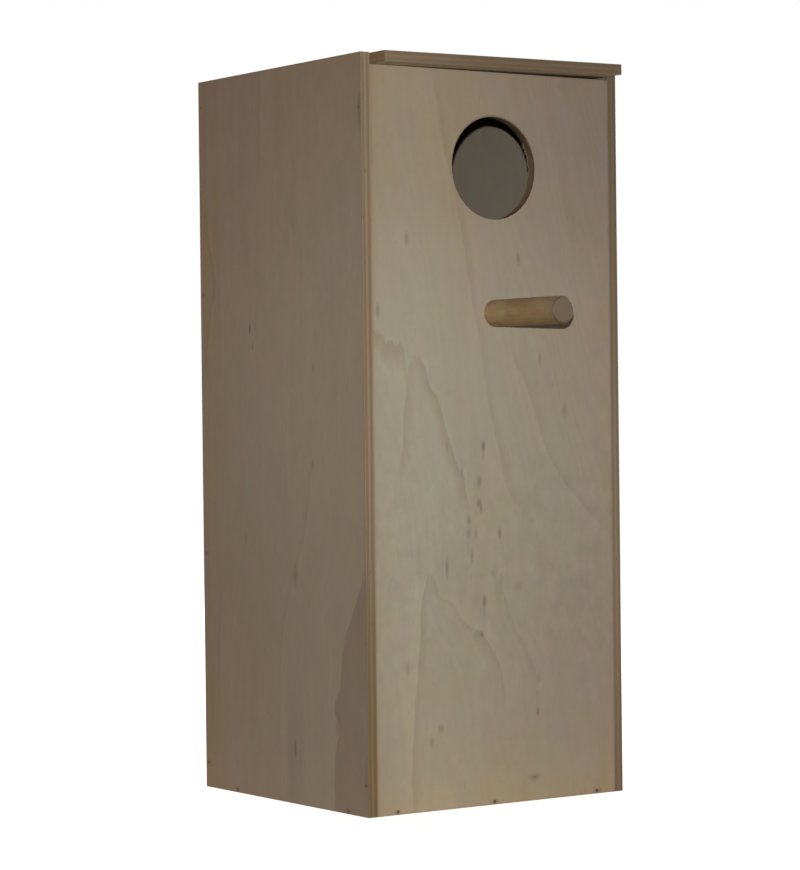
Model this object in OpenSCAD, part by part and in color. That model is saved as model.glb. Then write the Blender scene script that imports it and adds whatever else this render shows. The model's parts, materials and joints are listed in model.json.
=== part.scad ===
// Nest box for hole-nesting birds: two tall plywood side walls, a front wall with a round
// entrance and a dowel perch, a back wall, a floor and a lid that is hinged at the back.
// The front faces -Y and the ground is z = 0. The origin is the middle of the walls' footprint.

/* [Box] */
// Width over both side walls
box_w = 255; // [200:1:320]
// Depth of the side walls
box_d = 248; // [200:1:320]
// Height of the side walls
box_h = 600; // [460:5:740]
// Thickness of the plywood
ply_t = 8.5; // [7:0.1:12]

/* [Lid] */
// How far the lid stands out past the front wall
lid_overhang = 20; // [10:1:40]
// Gap between each end of the lid and the side wall beside it
lid_side_gap = 0.8; // [0.5:0.1:2]
// How far the top of the lid's left end lies below the tops of the side walls
lid_sink = 0.5; // [0:0.1:4]
// How much higher the lid's right end sits than its left end
lid_rise = 2.4; // [0:0.1:6]
// Gap under the lid's left end, above the front wall
lid_rest_gap = 0.2; // [0.1:0.1:1]

/* [Entrance] */
// Diameter of the entrance hole
hole_d = 83; // [45:1:110]
// From the tops of the side walls down to the centre of the entrance hole
hole_drop = 86.5; // [75:0.5:140]
// How far the entrance hole and the perch sit to the right of the box's middle
hole_side = 0.8; // [-5:0.1:5]

/* [Perch] */
// Diameter of the perch
perch_d = 22; // [16:1:32]
// Length of the perch in front of the front wall
perch_len = 90; // [60:1:130]
// From the centre of the entrance hole down to the middle of the perch
perch_drop = 117; // [85:1:160]
// Rounding of the perch's free end
perch_round = 2.5; // [1:0.5:6]
// Diameter of the perch's screw
perch_screw_d = 4; // [3:0.5:6]
// Length of the perch's screw
perch_screw_len = 40; // [25:1:50]
// Diameter of the head of the perch's screw
perch_screw_head_d = 7.8; // [7:0.1:11]
// Depth of the head of the perch's screw
perch_screw_head_t = 2.4; // [1.5:0.1:4]

/* [Brads] */
// Diameter of a brad's shank
brad_d = 1.6; // [1.2:0.1:2.4]
// Diameter of a brad's head
brad_head_d = 2.8; // [2.4:0.1:3.6]
// Depth of a brad's head
brad_head_t = 0.8; // [0.5:0.1:1.5]
// Length of a brad
brad_len = 25; // [18:1:26]
// From the ground up to the brads along the bottom edges
floor_brad_up = 2.4; // [2:0.1:6]
// From the front face back to the brads in the side walls' front edges
front_brad_in = 3; // [2:0.1:5]
// From the ground up to the lower brads in the side walls' front edges
front_brad_low = 25; // [15:1:80]
// From the tops of the side walls down to the upper brads in their front edges
front_brad_high = 43; // [20:1:100]
// From the ground up to the lowest brads in the side walls' rear edges
rear_brad_low = 21; // [15:1:60]
// From the ground up to the second brads in the side walls' rear edges
rear_brad_mid_low = 199; // [120:1:230]
// From the tops of the side walls down to the third brads in their rear edges
rear_brad_mid_high = 181; // [120:1:230]
// From the tops of the side walls down to the highest brads in their rear edges
rear_brad_high = 22; // [15:1:60]
// From the front face back to the front brads in the side walls' bottom edges
side_floor_brad_front = 29; // [27:1:70]
// From the back face forward to the rear brads in the side walls' bottom edges
side_floor_brad_rear = 51; // [27:1:70]
// From each side face in to the outer brads of the front and back walls
end_floor_brad_in = 27.5; // [27:0.5:60]
// How far the middle brads of the front and back walls sit to the left of the middle
end_floor_brad_shift = 5; // [0:1:20]

/* [Hinges] */
// Length of a hinge
hinge_len = 40; // [34:1:60]
// From each end of the lid to the middle of the hinge beside it
hinge_inset = 48; // [32:1:70]
// Thickness of a hinge leaf
leaf_t = 1.2; // [0.8:0.1:1.6]
// How much of the lid's edge the leaf leaves bare
leaf_margin = 0.3; // [0.1:0.1:1]
// Outer diameter of the knuckles
knuckle_d = 5; // [4.6:0.1:5.4]
// Gap between the knuckles and the wood behind them
knuckle_gap = 0.3; // [0.2:0.1:0.6]
// Gap between neighbouring knuckles
knuckle_end_gap = 0.3; // [0.2:0.1:1]
// Diameter of the hinge pin
pin_d = 2.5; // [1.6:0.1:3]
// Running gap round the pin in the lid's leaf
pin_gap = 0.05; // [0.02:0.01:0.1]
// Diameter of a hinge screw
hinge_screw_d = 2.4; // [1.6:0.1:2.6]
// Diameter of a hinge screw's head
hinge_screw_head_d = 4; // [3:0.1:4.2]
// Length of a hinge screw
hinge_screw_len = 12; // [8:1:20]
// Distance between the two screws of a leaf
hinge_screw_pitch = 26; // [20:1:28]

/* [Hidden] */
$fn = 64;
half_w = box_w / 2;
half_d = box_d / 2;
inner_w = box_w - 2 * ply_t;
inner_d = box_d - 2 * ply_t;

// The front and back walls end below the lid
seat_z = box_h - lid_sink - ply_t - lid_rest_gap;
hole_z = box_h - hole_drop;
perch_z = hole_z - perch_drop;

// The lid leans along a line through its hinge pins, up towards the right
lid_w = inner_w - 2 * lid_side_gap;
lid_d = box_d + lid_overhang;
lid_tilt = asin(lid_rise / lid_w);

// The pins lie behind the back wall, level with its top
knuckle_r = knuckle_d / 2;
pin_y = half_d + knuckle_gap + knuckle_r;
leaf_w = ply_t - leaf_margin;
knuckle_len = (hinge_len - 2 * knuckle_end_gap) / 3;
hinge_screw_head_t = leaf_t;
hinge_screw_z = (knuckle_r + leaf_w) / 2;
hinge_places = [["left", hinge_inset], ["right", lid_w - hinge_inset]];

plywood = [0.60, 0.50, 0.37];
dowel = [0.50, 0.40, 0.26];
steel = [0.62, 0.62, 0.60];
rusty_steel = [0.30, 0.26, 0.22];

// Each brad is its name, the middle of its head on the wall's face, and the way it points
side_rear_z = [rear_brad_low, rear_brad_mid_low, box_h - rear_brad_mid_high, box_h - rear_brad_high];
side_front_z = [front_brad_low, box_h - front_brad_high];
side_floor_y = [-half_d + side_floor_brad_front, half_d - side_floor_brad_rear];
end_floor_x = [-half_w + end_floor_brad_in, -end_floor_brad_shift, half_w - end_floor_brad_in];

function side_brads(side, x, turn) = concat(
    [for (i = [0 : len(side_rear_z) - 1])
        [str(side, "_rear_brad_", i + 1), [x, half_d - ply_t / 2, side_rear_z[i]], turn]],
    [for (i = [0 : len(side_front_z) - 1])
        [str(side, "_front_brad_", i + 1), [x, -half_d + front_brad_in, side_front_z[i]], turn]],
    [for (i = [0 : len(side_floor_y) - 1])
        [str(side, "_floor_brad_", i + 1), [x, side_floor_y[i], floor_brad_up], turn]]);

function end_brads(end, y, turn) =
    [for (i = [0 : len(end_floor_x) - 1])
        [str(end, "_floor_brad_", i + 1), [end_floor_x[i], y, floor_brad_up], turn]];

brads = concat(
    side_brads("left", -half_w, 0),
    side_brads("right", half_w, 180),
    end_brads("front", -half_d, 90),
    end_brads("back", half_d, -90));

// ---- Places ----

// Puts a brad's shape at its place, pointing into the wall
module at_brad(b) {
    translate(b[1])
        rotate([0, 0, b[2]])
            rotate([0, 90, 0])
                children();
}

// The lid's own frame: X runs along the pins from the lid's left end, and the lid lies towards -Y
module on_pin_line() {
    translate([-lid_w / 2, pin_y, seat_z])
        rotate([0, -lid_tilt, 0])
            children();
}

// The perch's own frame: Z runs out of the front wall along the perch
module on_perch_line() {
    translate([hole_side, -half_d, perch_z])
        rotate([90, 0, 0])
            children();
}

// ---- Fastener shapes, also used to cut their holes ----

module brad_shape() {
    cylinder(d = brad_head_d, h = brad_head_t);
    cylinder(d = brad_d, h = brad_len);
}

module brad_shapes() {
    for (b = brads)
        at_brad(b)
            brad_shape();
}

module perch_screw_shape() {
    translate([0, 0, -ply_t]) {
        cylinder(d1 = perch_screw_head_d, d2 = perch_screw_d, h = perch_screw_head_t);
        cylinder(d = perch_screw_d, h = perch_screw_len);
    }
}

// Two countersunk screws that point into the wood, at the height z from the pin line
module hinge_screw_shapes(z) {
    for (side = [-1, 1])
        translate([side * hinge_screw_pitch / 2, half_d + leaf_t - pin_y, z])
            rotate([90, 0, 0]) {
                cylinder(d1 = hinge_screw_head_d, d2 = hinge_screw_d, h = hinge_screw_head_t);
                cylinder(d = hinge_screw_d, h = hinge_screw_len);
            }
}

module all_hinge_screw_shapes(z) {
    for (h = hinge_places)
        on_pin_line()
            translate([h[1], 0, 0])
                hinge_screw_shapes(z);
}

// ---- Panels ----

module side_wall(side) {
    color(plywood)
        difference() {
            translate([side < 0 ? -half_w : half_w - ply_t, -half_d, 0])
                cube([ply_t, box_d, box_h]);
            brad_shapes();
        }
}

module front_wall() {
    color(plywood)
        difference() {
            translate([-inner_w / 2, -half_d, 0])
                cube([inner_w, ply_t, seat_z]);
            translate([hole_side, -half_d - 1, hole_z])
                rotate([-90, 0, 0])
                    cylinder(d = hole_d, h = ply_t + 2);
            on_perch_line()
                perch_screw_shape();
            brad_shapes();
        }
}

module back_wall() {
    color(plywood)
        difference() {
            translate([-inner_w / 2, half_d - ply_t, 0])
                cube([inner_w, ply_t, seat_z]);
            all_hinge_screw_shapes(-hinge_screw_z);
            brad_shapes();
        }
}

module floor_panel() {
    color(plywood)
        difference() {
            translate([-inner_w / 2, -inner_d / 2, 0])
                cube([inner_w, inner_d, ply_t]);
            brad_shapes();
        }
}

module lid() {
    color(plywood)
        difference() {
            on_pin_line()
                translate([0, -pin_y - half_d - lid_overhang, lid_rest_gap])
                    cube([lid_w, lid_d, ply_t]);
            all_hinge_screw_shapes(hinge_screw_z);
        }
}

// ---- Perch ----

module perch() {
    color(dowel)
        on_perch_line()
            difference() {
                union() {
                    cylinder(d = perch_d, h = perch_len - perch_round);
                    cylinder(d = perch_d - 2 * perch_round, h = perch_len);
                    translate([0, 0, perch_len - perch_round])
                        rotate_extrude()
                            translate([perch_d / 2 - perch_round, 0])
                                circle(r = perch_round);
                }
                perch_screw_shape();
            }
}

module perch_screw() {
    color(steel)
        on_perch_line()
            perch_screw_shape();
}

// ---- Hinges ----

// A knuckle that starts at x and runs towards +X
module knuckle(x) {
    translate([x, 0, 0])
        rotate([0, 90, 0])
            cylinder(d = knuckle_d, h = knuckle_len);
}

module pin_bore(d) {
    translate([-hinge_len / 2 - 1, 0, 0])
        rotate([0, 90, 0])
            cylinder(d = d, h = hinge_len + 2);
}

// Cuts a leaf back from a knuckle of the other leaf that starts at x
module knuckle_relief(x) {
    relief = knuckle_r + knuckle_end_gap;
    translate([x - knuckle_end_gap, -2 * knuckle_r, -relief])
        cube([knuckle_len + 2 * knuckle_end_gap, 4 * knuckle_r, 2 * relief]);
}

// The leaf on the back wall carries the two outer knuckles and holds the pin
module hinge_wall_leaf(place) {
    color(steel)
        on_pin_line()
            translate([place, 0, 0])
                difference() {
                    union() {
                        translate([-hinge_len / 2, half_d - pin_y, -leaf_w])
                            cube([hinge_len, leaf_t, leaf_w]);
                        knuckle(-hinge_len / 2);
                        knuckle(hinge_len / 2 - knuckle_len);
                    }
                    knuckle_relief(-knuckle_len / 2);
                    pin_bore(pin_d);
                    hinge_screw_shapes(-hinge_screw_z);
                }
}

// The leaf on the lid's rear edge carries the middle knuckle and turns on the pin
module hinge_lid_leaf(place) {
    color(steel)
        on_pin_line()
            translate([place, 0, 0])
                difference() {
                    union() {
                        translate([-hinge_len / 2, half_d - pin_y, 0])
                            cube([hinge_len, leaf_t, leaf_w]);
                        knuckle(-knuckle_len / 2);
                    }
                    knuckle_relief(-hinge_len / 2);
                    knuckle_relief(hinge_len / 2 - knuckle_len);
                    pin_bore(pin_d + 2 * pin_gap);
                    hinge_screw_shapes(hinge_screw_z);
                }
}

module hinge_pin(place) {
    color(steel)
        on_pin_line()
            translate([place - hinge_len / 2, 0, 0])
                rotate([0, 90, 0])
                    cylinder(d = pin_d, h = hinge_len);
}

module hinge_screws(place, z) {
    color(steel)
        on_pin_line()
            translate([place, 0, 0])
                hinge_screw_shapes(z);
}

// ---- Brads ----

module brad(b) {
    color(rusty_steel)
        at_brad(b)
            brad_shape();
}

// ---- Nodes ----

side_wall(-1);  // left_wall
side_wall(1);  // right_wall
front_wall();
back_wall();
floor_panel();
lid();
perch();
perch_screw();
for (h = hinge_places) {
    hinge_wall_leaf(h[1]);
    hinge_lid_leaf(h[1]);
    hinge_pin(h[1]);
    hinge_screws(h[1], -hinge_screw_z);
    hinge_screws(h[1], hinge_screw_z);
}
for (b = brads)
    brad(b);
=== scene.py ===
import json
import math
import random
from functools import partial
from types import SimpleNamespace

import bmesh
import bpy
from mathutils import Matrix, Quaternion, Vector


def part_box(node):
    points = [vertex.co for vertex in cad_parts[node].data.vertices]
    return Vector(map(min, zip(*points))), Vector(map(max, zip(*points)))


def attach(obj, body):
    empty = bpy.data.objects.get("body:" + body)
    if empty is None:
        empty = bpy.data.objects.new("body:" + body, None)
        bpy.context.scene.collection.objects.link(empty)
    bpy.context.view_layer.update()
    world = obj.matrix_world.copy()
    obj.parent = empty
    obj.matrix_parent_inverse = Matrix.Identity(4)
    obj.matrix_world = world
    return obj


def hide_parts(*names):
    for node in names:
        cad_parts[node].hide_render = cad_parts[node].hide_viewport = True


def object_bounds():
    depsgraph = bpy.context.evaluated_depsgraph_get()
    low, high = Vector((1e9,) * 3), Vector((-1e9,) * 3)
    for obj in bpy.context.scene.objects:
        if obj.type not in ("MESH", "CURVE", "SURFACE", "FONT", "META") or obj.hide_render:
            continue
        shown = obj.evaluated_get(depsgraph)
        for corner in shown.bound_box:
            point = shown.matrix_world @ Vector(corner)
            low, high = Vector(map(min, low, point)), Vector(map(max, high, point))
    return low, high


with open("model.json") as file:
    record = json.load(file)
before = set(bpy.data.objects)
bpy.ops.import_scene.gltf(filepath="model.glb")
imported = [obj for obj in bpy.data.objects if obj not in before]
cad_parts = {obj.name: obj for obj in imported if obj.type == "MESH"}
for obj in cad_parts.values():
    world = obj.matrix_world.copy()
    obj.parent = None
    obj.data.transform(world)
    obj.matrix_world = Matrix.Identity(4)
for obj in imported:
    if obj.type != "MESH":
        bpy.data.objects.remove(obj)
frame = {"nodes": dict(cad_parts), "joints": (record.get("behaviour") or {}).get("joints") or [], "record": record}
cadLow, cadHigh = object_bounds()
scene = bpy.context.scene
scene.view_settings.view_transform = "Standard"
nodes = frame["nodes"]
entrance = next(mount for mount in frame["record"]["mounts"] if mount["name"] == "entrance")
lidAlong = Vector(frame["joints"][0]["axis"]).normalized() * -1
lidUp = Vector((-lidAlong.z, 0, lidAlong.x))
print("frame loaded:", len(nodes), "nodes")

# Lengths in the dictionaries are millimetres, unless a note says otherwise
mm = 0.001


def hexToLinear(code):
    # sRGB hex to the linear colour that the shader sockets take
    values = [int(code[i:i + 2], 16) / 255 for i in (1, 3, 5)]
    return tuple(v / 12.92 if v <= 0.04045 else ((v + 0.055) / 1.055) ** 2.4 for v in values) + (1.0,)


def firstShown(sockets, key=0):
    # The socket with this name or place among those that the node's settings leave in use
    shown = [socket for socket in sockets if socket.enabled]
    return shown[key] if isinstance(key, int) else next(socket for socket in shown if socket.name == key)


def addNode(tree, kind, inputs=(), operation=None, **settings):
    # Adds a shader node. Its inputs are a list in the node's own order, or go by name. Each is a number,
    # a hex colour, a socket, or a node whose first output is taken
    made = tree.nodes.new("ShaderNode" + kind)
    if operation:
        made.operation = operation
    for name, value in settings.items():
        setattr(made, name, value)
    for key, value in inputs.items() if isinstance(inputs, dict) else enumerate(inputs):
        socket = firstShown(made.inputs, key)
        if isinstance(value, bpy.types.Node):
            value = firstShown(value.outputs)
        if isinstance(value, bpy.types.NodeSocket):
            tree.links.new(value, socket)
        else:
            socket.default_value = hexToLinear(value) if isinstance(value, str) else value
    return made


def startMaterial(name):
    # Gives the material, what adds its nodes, and the shaded point, in millimetres, with its normal
    material = bpy.data.materials.new(name)
    material.use_nodes = True
    material.node_tree.nodes.clear()
    add = partial(addNode, material.node_tree)
    place = add("TexCoord").outputs
    return material, add, add("VectorMath", [place["Object"], 1 / mm], "SCALE"), place["Normal"]


smooth = {"interpolation_type": "SMOOTHSTEP"}   # for a map range that eases in and out
noiseSpan = (0.3, 0.7)      # most of a noise lies between these


def finishMaterial(add, colour, rough, height, bump, metallic=0.0, specular=0.5):
    # Joins the finish to its shader; bump is how high it stands, and its strength
    bump = add("Bump", {"Height": height, "Distance": bump[0] * mm, "Strength": bump[1]})
    shader = add("BsdfPrincipled", {
        "Base Color": colour, "Metallic": metallic, "Roughness": rough, "Normal": bump,
        "Specular IOR Level": specular})
    add("OutputMaterial", {"Surface": shader})


def dress(piece, material):
    piece.data.materials.clear()
    piece.data.materials.append(material)


def addPiece(name, work, material):
    # Makes an object of a bmesh
    mesh = bpy.data.meshes.new(name)
    work.to_mesh(mesh)
    work.free()
    piece = bpy.data.objects.new(name, mesh)
    scene.collection.objects.link(piece)
    dress(piece, material)
    return piece


def seenPath(add):
    # 1 for camera, mirror and see-through rays, 0 for the light that falls on the object
    path = add("LightPath").outputs
    seen = add("Math", [path["Is Camera Ray"], path["Is Glossy Ray"]], "MAXIMUM")
    return add("Math", [seen, path["Is Transmission Ray"]], "MAXIMUM")


# The camera, level with the box's middle and round to its left
cameraLook = {
    "lens": 119.25,         # mm, on a 36 mm wide sensor
    "azimuth": -34.61,      # degrees round from straight in front, towards the left wall
    "elevation": 0.55,      # degrees above level
    "roll": -0.66,          # degrees
    "distance": 2.428,      # m
    "target": (-0.0060, 0.0034, 0.2982),    # m
}


def placeCamera(look):
    azimuth, elevation = math.radians(look["azimuth"]), math.radians(look["elevation"])
    level = math.cos(elevation)
    back = Vector((math.sin(azimuth) * level, -math.cos(azimuth) * level, math.sin(elevation)))
    data = bpy.data.cameras.new("camera")
    data.lens = look["lens"]
    data.dof.use_dof = False
    camera = bpy.data.objects.new("camera", data)
    scene.collection.objects.link(camera)
    camera.rotation_mode = "QUATERNION"
    camera.location = Vector(look["target"]) + back * look["distance"]
    turn = (-back).to_track_quat("-Z", "Y")
    camera.rotation_quaternion = turn @ Quaternion((0, 0, 1), math.radians(look["roll"]))
    scene.camera = camera
    return camera


camera = placeCamera(cameraLook)
print("camera placed")

lightLook = {
    "ambient": 0.038, "ambientColour": "#ffdcb8",   # the world's strength and colour on the object
    "flashPower": 211,                  # W, a small lamp just over the lens
    "flashRight": 1, "flashUp": 91,     # where it sits beside and over the lens
    "flashRadius": 10,
    "flashCone": 30,                    # degrees
    "flashAim": (-0.12, -0.05, 0.27),   # m
    "softSize": 1.1,                    # m
    "soft": {                           # power in W, and place in m
        "right": (29, (2.3, 0.35, 0.9)), "rear": (29, (0.2, 2.4, 1)), "above": (24, (0.45, 0.75, 2.4))},
}


def addLamp(name, kind, place, target, power):
    data = bpy.data.lights.new(name, kind)
    data.energy = power
    lamp = bpy.data.objects.new(name, data)
    scene.collection.objects.link(lamp)
    lamp.location = place
    lamp.rotation_mode = "QUATERNION"
    lamp.rotation_quaternion = (Vector(target) - lamp.location).to_track_quat("-Z", "Y")
    lamp.visible_camera = False
    return data


def lightScene(look):
    shift = Vector((look["flashRight"], look["flashUp"], 0)) * mm
    flashPlace = camera.location + camera.rotation_quaternion @ shift
    flash = addLamp("flash", "SPOT", flashPlace, look["flashAim"], look["flashPower"])
    flash.shadow_soft_size = look["flashRadius"] * mm
    flash.spot_size = math.radians(look["flashCone"])
    flash.spot_blend = 1.0
    for name, (power, place) in look["soft"].items():
        addLamp("soft_" + name, "AREA", place, (cadLow + cadHigh) / 2, power).size = look["softSize"]
    scene.world = bpy.data.worlds.new("studio")
    scene.world.use_nodes = True
    scene.world.node_tree.nodes.clear()
    add = partial(addNode, scene.world.node_tree)
    ambient = add("Background", [look["ambientColour"], look["ambient"]])
    white = add("Background", ["#ffffff", 1.0])
    both = add("MixShader", [seenPath(add), ambient, white])
    add("OutputWorld", {"Surface": both})


# The floor is pale to the camera, and throws little and warm light back up at the object
floorLook = {
    "colour": "#b9b9b6", "bounce": "#988560", "size": 14000,
    "under": 0.2,                                       # how far below the box it lies
    "lift": (0.86, 1.0), "liftReach": (300, 1500),      # its glow, and how far out that grows
}


def layFloor(look):
    work = bmesh.new()
    bmesh.ops.create_grid(work, x_segments=1, y_segments=1, size=look["size"] * mm / 2)
    # Painted floor: the camera sees the lift on top of the paint, which keeps the object's shadow
    material, add, spot, _ = startMaterial("paintedFloor")
    away = add("VectorMath", [spot], "LENGTH")
    lift = add("MapRange", [away, *look["liftReach"], *look["lift"]], **smooth)
    lift = add("Math", [seenPath(add), lift], "MULTIPLY")
    glow = add("Emission", ["#ffffff", lift])
    colour = add("Mix", [seenPath(add), look["bounce"], look["colour"]], data_type="RGBA")
    both = add("AddShader", [glow, add("BsdfDiffuse", {"Color": colour})])
    add("OutputMaterial", {"Surface": both})
    floor = addPiece("studioFloor", work, material)
    floor.location.z = cadLow.z - look["under"] * mm


lightScene(lightLook)
layFloor(floorLook)
print("light and floor made")

# Plywood panels. A name with Gain is a strength, and one with Shown is the noise range that brings it out
plyLook = {
    "thickness": 8.5, "arris": 0.3,         # the arris is the rounding left by sanding the edges
    "specular": 0.35, "bump": (0.15, 0.5),
    # Faces: noise sizes are across and along the grain
    "fibre": (0.9, 42), "streak": (7, 230), "blotch": (26, 44), "blotchGain": 0.04,
    "patch": (75, 150), "patchWarmth": (-0.25, 0.35), "pinkShown": (0.45, 0.75),
    "jag": (9, 30), "jagReach": 3,          # how growth lines waver, and how those across the grain do
    "feather": (2.2, 60), "featherReach": 9,
    "contour": (58, 430), "contourTurns": 90,
    "hue": (14, 24), "hueGain": 0.13,       # small changes of colour from spot to spot
    "mottle": (12, 15),                     # cloudy figure where the grain dips, no longer than it is wide
    "pore": (0.8, 7), "poreShown": (0.68, 0.82), "poreGain": 0.12,  # real 0.1 across, drawn coarser to show
    "lineTint": "#c4ab98",                  # growth line, thinner and pinker than the wood beside it
    "lineFade": (0.12, 0.048),              # how softly it starts and ends, as shares of its length
    "lineRim": (-0.9, 0.6),                 # from light to dark across it
    "speckTint": "#5f5242", "speckRim": (2.1, 0.25), "speckWaver": 0.12,
    "stain": (1.6, 3.0, 0.34),              # grime round a brad: half height, half width, strength
    "rimTint": "#a8957d", "rimWidth": 2, "rimWaver": 0.4, "rimGain": 0.2,   # faces are dull by their edges
    "innerSeed": 40, "innerCalm": 0.45,     # inner faces have a figure of their own, and less of it
    "faceRough": (0.56, 0.68), "fibreHeight": 0.5, "poreHeight": -0.13,
    "facing": (0.55, 0.8),                  # how squarely a surface faces out, from cut edge to face
    # Cut edges: noise sizes are across and along the panel, and as a share of its thickness
    "layers": (0.13, 0.37, 0.66, 0.90),     # where the five plies meet, from the inner face outwards
    "wander": (20, 20, 20), "wanderGain": 0.05,     # how those wander; this size is all in millimetres
    "glueLine": 0.25, "glueDepth": 0.4,     # real 0.1 thick, drawn coarser so that it shows
    "glue": "#3f3122", "glueHeight": -1.5,
    "longGrain": ("#806d56", "#8d7b65"),    # cut edge of a ply whose grain runs along the edge
    "endGrain": ("#6d5a46", "#7c6a52"),     # cut edge of a ply whose grain points out of the edge
    "run": (100 / 3, 100 / 3, 1 / 11),
    "cut": (10 / 9, 10 / 9, 1 / 7), "cutHeight": 1.6, "edgeRough": 0.8,
    "gap": (100 / 9, 100 / 9, 1 / 5), "gapShown": (0.68, 0.73), "gapGain": 0.5,
    # The entrance
    "sawTint": "#c8bcae", "sawDepth": 1,    # the hole's wall, burnished by the hole saw, and how deep
    "torn": 0.9, "tornSize": (10 / 9, 2, 20 / 7),   # how uneven the saw left it, and in what size
    "sawLow": [(0.05, 1.35), (0.3, 1.15), (0.6, 0.96), (0.8, 1), (0.97, 0.84)],   # its shade, from inside out
    "sawHigh": [(0.05, 0.28), (0.4, 0.36), (0.65, 0.58), (0.95, 0.9)],      # and higher up, where it is darker
    "scorch": (3, 27),                      # how far above the middle that begins, and is full
    "eased": (1.8, 0.5),                    # rubbed rim, darkened as painted shade: how far, how much
}

# What a panel has unless it says otherwise
plainPanel = {
    "along": (0, 0, 1), "inner": "#998c79", "edgeAlong": [(0, 0), (600, 0)], "patchGain": 1,
    "pinkGain": 0.7, "contourGain": 0.05, "streakGain": 0.03, "fibreGain": 0.05,
}
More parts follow.
